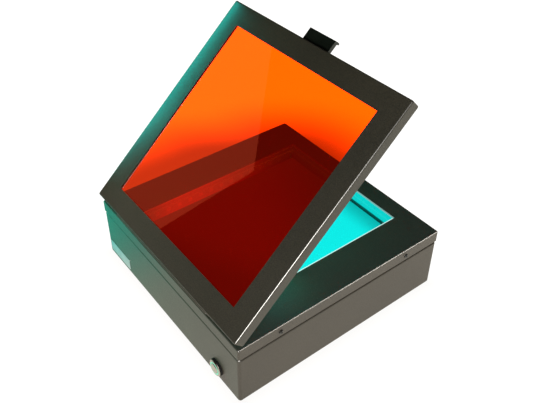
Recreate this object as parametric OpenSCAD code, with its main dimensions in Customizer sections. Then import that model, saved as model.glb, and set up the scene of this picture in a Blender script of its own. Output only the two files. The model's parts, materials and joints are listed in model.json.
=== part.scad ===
// Blue light viewing box: a flat lit box with a window on top and a hinged lid that holds
// an amber filter. Millimetres. The origin is on the table under the middle of the box,
// +Z is up, and the hinge and the power button are on the +Y side.

/* [Box] */
// Width of the box, side to side
box_w = 300; // [250:5:360]
// Depth of the box, front to hinge
box_d = 300; // [290:5:360]
// Height of the box above its feet
box_h = 86.5; // [70:0.5:105]
// Thickness of the folded steel sheet
sheet_t = 1; // [0.8:0.1:1.2]
// Outside radius of the sheet bends
bend_r = 1.6; // [1.3:0.1:2]
// Outside radius of the cover's and lid's upright corners
corner_r = 2.2; // [2.2:0.1:3]
// Outside radius of the tray's bends
tray_bend_r = 3; // [2:0.1:3.2]
// Outside radius of the tray's upright corners
tray_corner_r = 3.4; // [3.4:0.1:4.5]
// Distance of the tray's wall inside the cover's flange
tray_set = 0.4; // [0.2:0.1:1.2]
// Height of the groove between the flange and the tray's shoulder
shoulder_gap = 1.8; // [0.4:0.1:2.5]
// Height of the cover's side flange
cover_flange = 15; // [13:0.5:18]
// Gap between the cover's flange and the tray's rim inside it
cover_gap = 0.5; // [0.3:0.1:0.8]
// Distance of the cover screws from the middle of the side
cover_screw_y = 94.5; // [70:0.5:115]
// Height of a rubber foot
foot_h = 3; // [2:0.5:5]
// Diameter of a rubber foot
foot_d = 20; // [16:1:24]
// Distance of each foot's centre from the box's sides
foot_inset = 28; // [20:1:40]

/* [Window] */
// Width of the lit window
window_w = 200; // [160:1:202]
// Length of the lit window, front to back
window_l = 250; // [200:1:252]
// Thickness of the window glass
glass_t = 4; // [3:0.5:5]
// Width of glass hidden under the cover on each side
glass_lap = 8; // [6:0.5:9]
// Thickness of the foam between glass and cover
gasket_t = 0.5; // [0.3:0.1:1]
// Width of the clear sealing bead round the glass
seal_w = 1.2; // [0.8:0.1:2]
// Depth of the lit tray's floor below the cover's top
lit_depth = 24; // [20:1:30]
// Thickness of the lit tray's aluminium sheet
lit_t = 1; // [0.8:0.1:1.2]
// Thickness of the white panel on the lit tray's floor
panel_t = 2.5; // [1.5:0.5:4]
// Gap between the white panel and the lit tray's walls
panel_gap = 3.6; // [3.5:0.1:6]
// Spacing of the lamps along each strip
led_pitch = 16.5; // [12:0.5:25]
// Side of one square lamp
led_size = 5; // [3.5:0.1:5.5]

/* [Lid] */
// Height of the lid's folded frame
lid_h = 13.5; // [12.5:0.5:17]
// Gap between the shut lid and the cover
lid_gap = 0.8; // [0.6:0.1:1.5]
// Angle that the lid stands open at, as stored
lid_open = 42.8; // [0:0.1:90]
// Border of the lid frame at each side of the filter
lid_side = 28; // [26:1:34]
// Border of the lid frame at the hinge
lid_rear = 26; // [25:1:32]
// Border of the lid frame at the front
lid_front = 27; // [25:1:32]
// Thickness of the amber filter
filter_t = 3; // [2:0.5:4]
// Width of the pull tab
tab_w = 43; // [36:1:60]
// Reach of the pull tab in front of the lid
tab_reach = 15; // [12:1:20]

/* [Hinge] */
// Length of the hinge
hinge_l = 198; // [160:2:240]
// Distance of the hinge's middle from the middle of the box
hinge_x = 5; // [0:1:10]
// Outside radius of a hinge knuckle
knuckle_r = 1.55; // [1.4:0.05:1.9]
// Radius of the hinge pin
pin_r = 0.8; // [0.6:0.05:0.9]
// Thickness of a hinge leaf
leaf_t = 0.8; // [0.6:0.05:1]
// Height of the hinge pin above the cover
hinge_rise = 8.8; // [8.5:0.1:10]
// Distance of the hinge pin behind the box's rear face
hinge_back = 1.3; // [0.8:0.1:1.6]

/* [Switch and inlet] */
// Diameter of the power button's bezel
bezel_d = 20.5; // [20:0.5:26.5]
// Distance of the power button from the middle of the rear
switch_x = 107; // [90:1:110]
// Height of the power button's centre above the tray's floor
switch_z = 17.5; // [16:0.5:40]
// Travel of the button's cap
cap_travel = 1.5; // [1:0.1:2]
// Width of the blank rating plate
plate_w = 51; // [40:1:60]
// Height of the blank rating plate
plate_h = 17; // [12:1:25]

/* [Hidden] */
$fn = 48;

// Fasteners: metric M3
bolt_r = 1.5;
thread_clear = 0.1;
hole_r = 1.7;
nut_r = 3.15;
nut_h = 2.4;
head_r = 2.8;
head_h = 1.6;
socket_r = 1.15;
socket_depth = 0.9;
spacer_r = 3;
stud_tail = 0.6;

// Levels of the box, from the table up
floor_top = foot_h + sheet_t;
cover_top = foot_h + box_h;
cover_under = cover_top - sheet_t;
wall_top = cover_under - 0.5;
glass_top = cover_under - gasket_t;
glass_under = glass_top - glass_t;
lit_floor = cover_top - lit_depth;
lit_under = glass_under - lit_t;
cover_screw_z = cover_top - 8.9;

// Plan sizes of the tray: its wall, and its rim inside the cover's flange
wall_w = box_w - 2 * tray_set;
wall_d = box_d - 2 * tray_set;
rim_w = box_w - 2 * (sheet_t + cover_gap);
rim_d = box_d - 2 * (sheet_t + cover_gap);
rim_low = floor_top + tray_bend_r;
rim_r = tray_corner_r - 0.4;
shoulder_z = cover_top - cover_flange - shoulder_gap;

// Window and lit tray
window_corner = 1;
lit_reveal = 0.5;
lit_w = window_w + 2 * lit_reveal;
lit_l = window_l + 2 * lit_reveal;
lit_flange = 18;
stud_out = glass_lap + 5;
stud_rows_y = [-0.36, 0, 0.36] * window_l;
stud_rows_x = [-0.3, 0.3] * window_w;
strip_t = 1;
strip_h = 10;
strip_l = window_l - 4;
strip_z = (lit_floor + glass_under) / 2;
led_h = 1.6;
led_lens_r = led_size * 0.4;
led_count = floor((strip_l - led_size) / led_pitch) + 1;
wire_r = 1.1;
lit_wire_x = lit_w / 2 - strip_t - wire_r - 0.2;
lit_wire_y = 2.5 - strip_l / 2;
lit_wire_hole = wire_r + 0.15;

// Levels of the shut lid
lid_under = cover_top + lid_gap;
lid_top = lid_under + lid_h;
lid_ceiling = lid_top - sheet_t;
tape_t = 0.5;
filter_top = lid_ceiling - tape_t;
filter_under = filter_top - filter_t;
retainer_t = 1.2;
retainer_under = filter_under - retainer_t;

// Plan of the shut lid
opening_w = box_w - 2 * lid_side;
opening_y0 = lid_front - box_d / 2;
opening_y1 = box_d / 2 - lid_rear;
filter_lap = 9;
filter_w = opening_w + 2 * filter_lap;
filter_y0 = opening_y0 - filter_lap;
filter_y1 = opening_y1 + filter_lap;
filter_stud = filter_lap + spacer_r + 0.5;
retainer_edge = filter_lap + 2 * spacer_r + 0.8;
retainer_set = 1.5;
corner_gap = 1;

// Rubber bumpers under the lid's front corners
bumper_r = 5;
bumper_side = 10;
bumper_front = 9;
bumper_gap = 0.3;

// Hinge
axis_y = box_d / 2 + hinge_back;
axis_z = cover_top + hinge_rise;
pin_clear = 0.05;
knuckle_gap = 0.3;
knuckle_count = 2 * floor(hinge_l / 20) + 1;
knuckle_pitch = hinge_l / knuckle_count;
hinge_end = hinge_x - hinge_l / 2;
leaf_back = box_d / 2 - bend_r;
leaf_front = filter_y1 + 2 * spacer_r + 1;
leaf_screw_y = (leaf_front + leaf_back - leaf_t) / 2;
hinge_screws_x = [-0.4, -0.2, 0, 0.2, 0.4] * hinge_l;
pin_play = 0.1;
pin_head_h = 0.6;
pin_head_r = (pin_r + knuckle_r) / 2;
notch_top = axis_z + knuckle_r + 0.8;
notch_side = pin_play + pin_head_h + 0.5;

// Pull tab
tab_top = lid_top - 2.2;
tab_t = 5;
tab_lip = 8;
tab_lip_t = 2.4;
tab_screw_x = tab_w * 0.3;
tab_thread = tab_reach - 4;

// Power switch, measured outwards from the tray's rear face
washer_t = 2.5;
bezel_h = 1.3;
bezel_chamfer = 0.7;
bezel_r = bezel_d / 2;
barrel_r = bezel_r - 1.6;
barrel_l = 24;
cap_r = 6.2;
cap_clear = 0.1;
ring_in = cap_r + 0.4;
ring_out = cap_r + 1.7;
ring_seat = 1.4;
cap_proud = 0.7;
cap_l = 5;
switch_face = washer_t + bezel_h;
switch_nut_h = 3;
terminal_x = 4.5;
terminal_t = 0.8;
terminal_w = 2.8;
terminal_l = 7;
switch_centre_z = floor_top + switch_z - sheet_t;

// Blank rating plate on the rear wall
plate_side = 30.7;
plate_rise = 13.5;
plate_t = 0.3;
plate_corner = 2;

// Inlet in the +X wall
inlet_y = box_d / 2 - 45;
inlet_z = floor_top + 20;
inlet_flange_r = 7;
inlet_flange_h = 1.4;
inlet_r = 5.5;
inlet_l = 14;
inlet_bore_r = 2.9;
inlet_pin_r = 1.05;
inlet_depth = 10;

// Driver board, lying on the tray's floor
driver_w = 90;
driver_d = 56;
driver_x = 20;
driver_y = 30;
board_t = 1.6;
standoff_h = 8;
board_top = floor_top + standoff_h + board_t;
board_inset = 5;

// Colours
coat = "#4a473f";
coat_dark = "#3d3c35";
white_coat = "#e9f3f0";
steel = "#c9c7c1";
zinc = "#b4b6b5";
black = "#161616";

// ---- shapes that repeat ----

// A square of the given size with its four corners rounded, centred.
module round_square(w, d, r) {
    square([w - 2 * r, d], center = true);
    square([w, d - 2 * r], center = true);
    for (x = [-1, 1], y = [-1, 1])
        translate([x * (w / 2 - r), y * (d / 2 - r)]) circle(r = r);
}

// A block between two heights with its level edges and upright corners rounded.
module eased_block(w, d, z0, z1, r, corner) {
    h = z1 - z0;
    translate([0, 0, (z0 + z1) / 2]) {
        rotate([90, 0, 0]) linear_extrude(d - 2 * corner, center = true) round_square(w, h, r);
        rotate([90, 0, 90]) linear_extrude(w - 2 * corner, center = true) round_square(d, h, r);
        for (x = [-1, 1], y = [-1, 1])
            translate([x * (w / 2 - corner), y * (d / 2 - corner), 0]) rotate_extrude() intersection() {
                round_square(2 * corner, h, r);
                translate([0, -h / 2]) square([corner, h]);
            }
    }
}

// A sheet folded down on all four sides, with its top face at zero.
module folded_pan(w, d, h) {
    difference() {
        eased_block(w, d, -h - bend_r, 0, bend_r, corner_r);
        eased_block(w - 2 * sheet_t, d - 2 * sheet_t, -h - 2 * bend_r, -sheet_t, bend_r - sheet_t,
            corner_r - sheet_t);
        translate([-w, -d, -h - 2 * bend_r]) cube([2 * w, 2 * d, 2 * bend_r]);
    }
}

// A flat plate between two heights, centred in plan.
module plate(w, d, z0, z1) {
    translate([-w / 2, -d / 2, z0]) cube([w, d, z1 - z0]);
}

// A screw pointing down, with its head standing on zero.
module screw(length) {
    difference() {
        union() {
            cylinder(h = head_h * 0.55, r = head_r);
            translate([0, 0, head_h * 0.55])
                cylinder(h = head_h * 0.45, r1 = head_r, r2 = head_r * 0.72);
            translate([0, 0, -length]) cylinder(h = length, r = bolt_r);
        }
        translate([0, 0, head_h - socket_depth]) cylinder(h = socket_depth + 1, r = socket_r, $fn = 6);
    }
}

// A hexagon nut standing on zero.
module nut() {
    difference() {
        cylinder(h = nut_h, r = nut_r, $fn = 6);
        translate([0, 0, -1]) cylinder(h = nut_h + 2, r = bolt_r + thread_clear);
    }
}

// A tube that fits over a stud, standing on zero.
module spacer(length) {
    difference() {
        cylinder(h = length, r = spacer_r);
        translate([0, 0, -1]) cylinder(h = length + 2, r = bolt_r + thread_clear);
    }
}

// A wire through a list of points, with a round bend at each.
module wire(points) {
    for (i = [0 : len(points) - 2]) {
        step = points[i + 1] - points[i];
        run = norm(step);
        tilt = acos(step[2] / run);
        turn = atan2(step[1], step[0]);
        translate(points[i]) rotate([0, tilt, turn]) cylinder(h = run, r = wire_r, $fn = 16);
    }
    for (i = [1 : len(points) - 2]) translate(points[i]) sphere(r = wire_r, $fn = 16);
}

// ---- places that repeat ----

// Turns what is drawn for the shut lid to the angle that the lid is stored at.
module on_lid() {
    translate([0, axis_y, axis_z]) rotate([-lid_open, 0, 0])
        translate([0, -axis_y, -axis_z]) children();
}

// The screws that hold the cover to the tray: two in each side, heads outwards.
module at_cover_screws(x) {
    for (side = [-1, 1], y = [-1, 1])
        translate([side * x, y * cover_screw_y, cover_screw_z]) rotate([0, side * 90, 0]) children();
}

// The studs that carry the lit tray: three along each side and two at each end.
module at_lit_studs(z) {
    for (side = [-1, 1], y = stud_rows_y)
        translate([side * (window_w / 2 + stud_out), y, z]) children();
    for (end = [-1, 1], x = stud_rows_x)
        translate([x, end * (window_l / 2 + stud_out), z]) children();
}

// The studs that carry the filter's retainers.
module at_side_retainer_studs(side, z) {
    for (share = [0.12, 0.5, 0.88]) {
        y = filter_y0 + share * (filter_y1 - filter_y0);
        translate([side * (opening_w / 2 + filter_stud), y, z]) children();
    }
}

module at_end_retainer_studs(y, z) {
    for (x = [-0.35, 0, 0.35] * opening_w) translate([x, y, z]) children();
}

module at_retainer_studs(z) {
    for (side = [-1, 1]) at_side_retainer_studs(side, z) children();
    at_end_retainer_studs(opening_y0 - filter_stud, z) children();
    at_end_retainer_studs(opening_y1 + filter_stud, z) children();
}

// The screws along one leaf of the hinge.
module at_hinge_screws(z) {
    for (x = hinge_screws_x) translate([hinge_x + x, leaf_screw_y, z]) children();
}

module at_tab_screws(y) {
    for (side = [-1, 1])
        translate([side * tab_screw_x, y, tab_top - tab_t / 2]) rotate([90, 0, 0]) children();
}

module at_switch() {
    translate([-switch_x, wall_d / 2, switch_centre_z]) rotate([-90, 0, 0]) children();
}

module at_inlet() {
    translate([wall_w / 2, inlet_y, inlet_z]) rotate([0, 90, 0]) children();
}

module at_driver_corners(z) {
    out_x = driver_w / 2 - board_inset;
    out_y = driver_d / 2 - board_inset;
    for (x = [-1, 1], y = [-1, 1])
        translate([driver_x + x * out_x, driver_y + y * out_y, z]) children();
}

module at_feet() {
    for (x = [-1, 1], y = [-1, 1])
        translate([x * (box_w / 2 - foot_inset), y * (box_d / 2 - foot_inset), 0]) children();
}

// ---- box ----

// The tray's wall bends inwards at the top, into a rim that the cover's flange goes over.
module base_tray() color(coat) difference() {
    union() {
        eased_block(wall_w, wall_d, foot_h, shoulder_z, tray_bend_r, tray_corner_r);
        translate([0, 0, rim_low]) linear_extrude(wall_top - rim_low) round_square(rim_w, rim_d, rim_r);
    }
    eased_block(wall_w - 2 * sheet_t, wall_d - 2 * sheet_t, floor_top, shoulder_z - sheet_t,
        tray_bend_r - sheet_t, tray_corner_r - sheet_t);
    translate([0, 0, rim_low])
        linear_extrude(box_h) round_square(rim_w - 2 * sheet_t, rim_d - 2 * sheet_t, rim_r - sheet_t);
    at_cover_screws(rim_w / 2 - sheet_t - 1) cylinder(h = sheet_t + 2, r = hole_r);
    at_switch() translate([0, 0, -sheet_t - 1]) cylinder(h = sheet_t + 2, r = barrel_r + 0.15);
    at_inlet() translate([0, 0, -sheet_t - 1]) cylinder(h = sheet_t + 2, r = inlet_r + 0.15);
}

module rubber_feet() color(black) at_feet() {
    translate([0, 0, 0.6]) cylinder(h = foot_h - 0.6, r = foot_d / 2);
    cylinder(h = 0.6, r1 = foot_d / 2 - 0.6, r2 = foot_d / 2);
}

module top_cover() color(coat) difference() {
    translate([0, 0, cover_top]) folded_pan(box_w, box_d, cover_flange);
    translate([0, 0, cover_under - 1])
        linear_extrude(sheet_t + 2) round_square(window_w, window_l, window_corner);
    at_cover_screws(box_w / 2 - sheet_t - 1) cylinder(h = sheet_t + 2, r = hole_r);
    at_hinge_screws(cover_under - 1) cylinder(h = sheet_t + 2, r = hole_r);
}

module cover_screws() color(black) at_cover_screws(box_w / 2) screw(sheet_t * 2 + cover_gap + nut_h);

module cover_nuts() color(zinc) at_cover_screws(rim_w / 2 - sheet_t - nut_h) nut();

module rating_plate() color("#b9bbb8")
    translate([box_w / 2 - plate_side, wall_d / 2, floor_top + plate_rise]) rotate([-90, 0, 0])
        linear_extrude(plate_t) round_square(plate_w, plate_h, plate_corner);

// ---- window and light ----

module window_glass() color("#bfe9ee", 0.35)
    plate(window_w + 2 * glass_lap, window_l + 2 * glass_lap, glass_under, glass_top);

module window_gasket() color(black) difference() {
    plate(window_w + 2 * glass_lap, window_l + 2 * glass_lap, glass_top, cover_under);
    plate(window_w + 2, window_l + 2, glass_top - 1, cover_under + 1);
}

module window_seal() color("#dff4f2") difference() {
    translate([0, 0, glass_top])
        linear_extrude(cover_top - glass_top) round_square(window_w, window_l, window_corner);
    translate([0, 0, glass_top - 1]) linear_extrude(cover_top - glass_top + 2)
        round_square(window_w - 2 * seal_w, window_l - 2 * seal_w, window_corner / 2);
}

module light_panel() color(white_coat)
    translate([0, 0, lit_floor]) linear_extrude(panel_t)
        round_square(lit_w - 2 * panel_gap, lit_l - 2 * panel_gap, window_corner);

module lit_tray() color(white_coat) difference() {
    union() {
        plate(window_w + 2 * lit_flange, window_l + 2 * lit_flange, lit_under, glass_under);
        plate(lit_w + 2 * lit_t, lit_l + 2 * lit_t, lit_floor - lit_t, glass_under);
    }
    plate(lit_w, lit_l, lit_floor, glass_under + 1);
    at_lit_studs(lit_under - 1) cylinder(h = lit_t + 2, r = hole_r);
    for (side = [-1, 1])
        translate([side * lit_wire_x, lit_wire_y, lit_floor - lit_t - 1])
            cylinder(h = lit_t + 2, r = lit_wire_hole);
}

module lit_tray_studs() color(zinc)
    at_lit_studs(lit_under - nut_h - stud_tail)
        cylinder(h = cover_under - lit_under + nut_h + stud_tail, r = bolt_r);

module lit_tray_spacers() color(zinc) at_lit_studs(glass_under) spacer(cover_under - glass_under);

module lit_tray_nuts() color(zinc) at_lit_studs(lit_under - nut_h) nut();

module led_strip(side) color("#eef2ee")
    translate([side * (lit_w / 2 - strip_t / 2), 0, strip_z])
        cube([strip_t, strip_l, strip_h], center = true);

module leds(side) color("#9adfff")
    for (i = [0 : led_count - 1]) {
        y = (i - (led_count - 1) / 2) * led_pitch;
        translate([side * (lit_w / 2 - strip_t), y, strip_z]) rotate([0, -side * 90, 0]) {
            translate([-led_size / 2, -led_size / 2, 0]) cube([led_size, led_size, led_h]);
            translate([0, 0, led_h]) cylinder(h = 0.2, r = led_lens_r, $fn = 24);
        }
    }

// ---- driver ----

module driver_board() color("#1d5c3a") difference() {
    translate([driver_x - driver_w / 2, driver_y - driver_d / 2, board_top - board_t])
        cube([driver_w, driver_d, board_t]);
    at_driver_corners(board_top - board_t - 1) cylinder(h = board_t + 2, r = hole_r);
}

module driver_standoffs() color(zinc) at_driver_corners(floor_top) spacer(standoff_h);

module driver_screws() color(zinc) at_driver_corners(board_top) screw(board_t + 5);

module driver_coil() color("#2b2b2b") translate([driver_x + 12, driver_y + 8, board_top]) {
    cylinder(h = 2, r = 9);
    translate([0, 0, 2]) cylinder(h = 8, r = 7);
    translate([0, 0, 10]) cylinder(h = 2, r = 9);
}

module driver_capacitors() color("#20304c")
    for (i = [0 : 2])
        translate([driver_x - 22 + 12 * i, driver_y - 14, board_top]) cylinder(h = 16, r = 4.5);

module driver_chips() color(black) {
    translate([driver_x - 22, driver_y + 2, board_top]) cube([14, 10, 2.4]);
    translate([driver_x - 2, driver_y - 26, board_top]) cube([7, 5, 1.6]);
}

module driver_heatsink() color("#8f9294") translate([driver_x + 22, driver_y - 20, board_top]) {
    cube([12, 36, 3]);
    for (i = [0 : 3]) translate([i * 3.5, 0, 3]) cube([1.5, 36, 13]);
}

module driver_terminals() color("#2f7d4f")
    for (end = [-1, 1])
        translate([driver_x + end * 39 - 4, driver_y - 8 * end - 7.5, board_top]) cube([8, 15, 10]);

// ---- power switch and inlet ----

module switch_housing() color(steel) at_switch() difference() {
    union() {
        translate([0, 0, washer_t]) cylinder(h = bezel_h - bezel_chamfer, r = bezel_r);
        translate([0, 0, switch_face - bezel_chamfer])
            cylinder(h = bezel_chamfer, r1 = bezel_r, r2 = bezel_r - bezel_chamfer);
        translate([0, 0, -barrel_l]) cylinder(h = barrel_l + washer_t, r = barrel_r);
    }
    translate([0, 0, switch_face - ring_seat]) cylinder(h = ring_seat + 1, r = ring_out);
    translate([0, 0, switch_face + cap_proud - cap_l - cap_travel - 0.5])
        cylinder(h = cap_l + cap_travel + 1, r = cap_r + cap_clear);
}

module switch_washer() color(black) at_switch() difference() {
    cylinder(h = washer_t, r = bezel_r + 0.4);
    translate([0, 0, -1]) cylinder(h = washer_t + 2, r = barrel_r + 0.1);
}

module switch_nut() color(steel) at_switch() translate([0, 0, -sheet_t - switch_nut_h]) difference() {
    cylinder(h = switch_nut_h, r = bezel_r + 1.5, $fn = 6);
    translate([0, 0, -1]) cylinder(h = switch_nut_h + 2, r = barrel_r + 0.1);
}

module switch_light_ring() color("#86f5dc") at_switch()
    translate([0, 0, switch_face - ring_seat]) difference() {
        cylinder(h = ring_seat + 0.2, r = ring_out);
        translate([0, 0, -1]) cylinder(h = ring_seat + 3, r = ring_in);
    }

module switch_cap() color(steel) at_switch() translate([0, 0, switch_face + cap_proud - cap_l]) {
    cylinder(h = cap_l - 0.5, r = cap_r);
    translate([0, 0, cap_l - 0.5]) cylinder(h = 0.5, r1 = cap_r, r2 = cap_r - 0.5);
}

module switch_terminals() color("#c9a24a") at_switch() translate([0, 0, -barrel_l])
    for (x = [-1, -1 / 3, 1 / 3, 1] * terminal_x)
        translate([x - terminal_t / 2, -terminal_w / 2, -terminal_l])
            cube([terminal_t, terminal_w, terminal_l]);

module inlet_socket() color(black) at_inlet() difference() {
    union() {
        cylinder(h = inlet_flange_h, r = inlet_flange_r);
        translate([0, 0, -inlet_l]) cylinder(h = inlet_l, r = inlet_r);
    }
    translate([0, 0, inlet_flange_h - inlet_depth]) cylinder(h = inlet_depth + 1, r = inlet_bore_r);
}

module inlet_pin() color(zinc) at_inlet()
    translate([0, 0, inlet_flange_h - inlet_depth]) cylinder(h = inlet_depth - 1, r = inlet_pin_r);

module inlet_nut() color(zinc) at_inlet() translate([0, 0, -sheet_t - nut_h]) difference() {
    cylinder(h = nut_h, r = inlet_r + 2.8, $fn = 6);
    translate([0, 0, -1]) cylinder(h = nut_h + 2, r = inlet_r + 0.1);
}

// ---- wiring ----

switch_end = [-switch_x, wall_d / 2 - barrel_l - terminal_l, switch_centre_z];
inlet_end = [wall_w / 2 - inlet_l, inlet_y, inlet_z];
input_end = [driver_x - 43, driver_y + 8, board_top + 5];
output_end = [driver_x + 43, driver_y - 8, board_top + 5];
wire_floor = floor_top + 3;
clip_l = 6;
clip_w = 8;
clip_h = 5.5;

module supply_wires() color("#a51d1d") {
    near_x = terminal_x - switch_x;
    far_x = -terminal_x - switch_x;
    drop_y = inlet_y - 8;
    rise_x = input_end[0] - 10;
    wire([inlet_end, [inlet_end[0] - 8, inlet_y, inlet_z], [inlet_end[0] - 8, inlet_y, wire_floor],
        [near_x, inlet_y, wire_floor], [near_x, inlet_y, switch_end[2]],
        [near_x, switch_end[1], switch_end[2]]]);
    wire([[far_x, switch_end[1], switch_end[2]], [far_x, drop_y, switch_end[2]],
        [far_x, drop_y, wire_floor], [far_x, input_end[1], wire_floor],
        [rise_x, input_end[1], wire_floor], [rise_x, input_end[1], input_end[2]], input_end]);
}

module led_wires() color("#2b2b2b") for (side = [-1, 1]) {
    start = output_end + [0, side * 3, 0];
    low = wire_floor + 1 + side * 1.5;
    out_x = output_end[0] + 10 + side * 3;
    run_y = lit_wire_y;
    hole_x = side * lit_wire_x;
    wire([start, [out_x, start[1], start[2]], [out_x, start[1], low], [out_x, run_y, low],
        [hole_x, run_y, low], [hole_x, run_y, strip_z - 1],
        [side * (lit_w / 2 - strip_t), run_y, strip_z - 1]]);
}

module wire_clips() color("#dcdcd6") {
    for (x = [-0.25, 0, 0.25] * box_w) translate([x, inlet_y, floor_top]) wire_clip(0);
    for (y = [input_end[1] + 12, inlet_y - 20])
        translate([-terminal_x - switch_x, y, floor_top]) wire_clip(90);
}

// A clip that a wire passes through, standing on zero.
module wire_clip(turn) rotate([0, 0, turn]) difference() {
    translate([-clip_l / 2, -clip_w / 2, 0]) cube([clip_l, clip_w, clip_h]);
    translate([-clip_l, 0, wire_floor - floor_top]) rotate([0, 90, 0])
        cylinder(h = 2 * clip_l, r = wire_r + 0.1, $fn = 24);
}

// ---- hinge ----

// Every second knuckle from the first, each with the strip that joins it to its leaf.
module knuckles(first, strip_z) {
    length = knuckle_pitch - knuckle_gap;
    for (i = [first : 2 : knuckle_count - 1])
        translate([hinge_end + i * knuckle_pitch + knuckle_gap / 2, 0, 0]) {
            translate([0, axis_y, axis_z]) rotate([0, 90, 0]) cylinder(h = length, r = knuckle_r);
            translate([0, leaf_back - leaf_t / 2, strip_z])
                cube([length, axis_y - leaf_back + leaf_t / 2, leaf_t]);
        }
}

// The bore of all the knuckles.
module pin_bore() {
    translate([hinge_end - 1, axis_y, axis_z]) rotate([0, 90, 0])
        cylinder(h = hinge_l + 2, r = pin_r + pin_clear);
}

// The bent plate of a leaf: an upright between two heights and a foot at one of them.
module leaf_plate(z0, z1, foot_z) {
    translate([hinge_end, leaf_back - leaf_t, z0]) cube([hinge_l, leaf_t, z1 - z0]);
    translate([hinge_end, leaf_front, foot_z]) cube([hinge_l, leaf_back - leaf_front, leaf_t]);
}

module hinge_base_leaf() color(coat) difference() {
    union() {
        knuckles(0, axis_z - knuckle_r);
        leaf_plate(cover_top, axis_z - knuckle_r + leaf_t, cover_top);
    }
    pin_bore();
    at_hinge_screws(cover_top - 1) cylinder(h = leaf_t + 2, r = hole_r);
}

module hinge_lid_leaf() color(coat) on_lid() difference() {
    union() {
        knuckles(1, axis_z + knuckle_r - leaf_t);
        leaf_plate(axis_z + knuckle_r - leaf_t, lid_ceiling, lid_ceiling - leaf_t);
    }
    pin_bore();
    at_hinge_screws(lid_ceiling - leaf_t - 1) cylinder(h = leaf_t + 2, r = hole_r);
}

module hinge_pin() color(steel) translate([hinge_x, axis_y, axis_z]) rotate([0, 90, 0]) {
    cylinder(h = hinge_l + 2 * pin_play, r = pin_r, center = true);
    for (end = [-1, 1]) translate([0, 0, end * (hinge_l / 2 + pin_play + pin_head_h / 2)])
        cylinder(h = pin_head_h, r = pin_head_r, center = true);
}

module hinge_base_screws() color(zinc) at_hinge_screws(cover_top + leaf_t) screw(leaf_t + sheet_t + nut_h);

module hinge_base_nuts() color(zinc) at_hinge_screws(cover_under - nut_h) nut();

module hinge_lid_studs() color(zinc) on_lid()
    at_hinge_screws(lid_ceiling - leaf_t - nut_h - stud_tail)
        cylinder(h = leaf_t + nut_h + stud_tail, r = bolt_r);

module hinge_lid_nuts() color(zinc) on_lid() at_hinge_screws(lid_ceiling - leaf_t - nut_h) nut();

// ---- lid ----

module lid_frame() color(coat_dark) on_lid() difference() {
    translate([0, 0, lid_top]) folded_pan(box_w, box_d, lid_h);
    translate([-opening_w / 2, opening_y0, lid_ceiling - 1])
        cube([opening_w, opening_y1 - opening_y0, sheet_t + 2]);
    translate([hinge_end - notch_side, box_d / 2 - sheet_t - 1, lid_under - 1])
        cube([hinge_l + 2 * notch_side, sheet_t + 2, notch_top - lid_under + 1]);
    at_tab_screws(2 + sheet_t - box_d / 2) cylinder(h = sheet_t + 4, r = hole_r);
}

module amber_filter() color("#ff7a10", 0.6) on_lid()
    translate([-filter_w / 2, filter_y0, filter_under]) cube([filter_w, filter_y1 - filter_y0, filter_t]);

module filter_tape() color(black) on_lid() difference() {
    translate([-filter_w / 2, filter_y0, filter_top]) cube([filter_w, filter_y1 - filter_y0, tape_t]);
    translate([-opening_w / 2 - 1, opening_y0 - 1, filter_top - 1])
        cube([opening_w + 2, opening_y1 - opening_y0 + 2, tape_t + 2]);
}

// A strip under the edge of the filter at one side of the lid.
module side_retainer(side) color(black) on_lid() difference() {
    x0 = side > 0 ? opening_w / 2 + retainer_set : -opening_w / 2 - retainer_edge;
    translate([x0, filter_y0, retainer_under])
        cube([retainer_edge - retainer_set, filter_y1 - filter_y0, retainer_t]);
    at_side_retainer_studs(side, retainer_under - 1) cylinder(h = retainer_t + 2, r = hole_r);
}

// A strip under the edge of the filter at the front or the rear, between the side strips.
module end_retainer(y0, y1, stud_y) color(black) on_lid() difference() {
    translate([corner_gap - opening_w / 2 - retainer_set + 0.5, y0, retainer_under])
        cube([opening_w + 2 * (retainer_set - corner_gap) - 1, y1 - y0, retainer_t]);
    at_end_retainer_studs(stud_y, retainer_under - 1) cylinder(h = retainer_t + 2, r = hole_r);
}

module retainer_front()
    end_retainer(opening_y0 - retainer_edge, opening_y0 - retainer_set, opening_y0 - filter_stud);

module retainer_rear()
    end_retainer(opening_y1 + retainer_set, opening_y1 + retainer_edge, opening_y1 + filter_stud);

module retainer_studs() color(zinc) on_lid()
    at_retainer_studs(retainer_under - nut_h - stud_tail)
        cylinder(h = lid_ceiling - retainer_under + nut_h + stud_tail, r = bolt_r);

module retainer_spacers() color(zinc) on_lid()
    at_retainer_studs(filter_under) spacer(lid_ceiling - filter_under);

module retainer_nuts() color(zinc) on_lid() at_retainer_studs(retainer_under - nut_h) nut();

module pull_tab() color(black) on_lid() difference() {
    union() {
        translate([-tab_w / 2, -box_d / 2 - tab_reach, tab_top - tab_t]) cube([tab_w, tab_reach, tab_t]);
        translate([0, -box_d / 2 - tab_reach, tab_top]) rotate([90, 0, 90])
            linear_extrude(tab_w, center = true)
                polygon([[0.1, 0], [tab_lip_t, 0], [tab_lip_t, -tab_t], [tab_lip_t - 0.9, -tab_lip],
                    [-0.5, -tab_lip], [-0.7, 0.6 - tab_lip], [-0.7, -tab_t]]);
    }
    at_tab_screws(-box_d / 2 + 1) cylinder(h = tab_thread + 1, r = bolt_r + thread_clear);
}

module tab_screws() color(zinc) on_lid()
    at_tab_screws(sheet_t - box_d / 2) rotate([180, 0, 0]) screw(sheet_t + tab_thread - 1);

module lid_bumpers() color(black) on_lid()
    for (side = [-1, 1])
        translate([side * (box_w / 2 - bumper_side), bumper_front - box_d / 2, cover_top + bumper_gap])
            cylinder(h = lid_ceiling - cover_top - bumper_gap, r = bumper_r);

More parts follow.
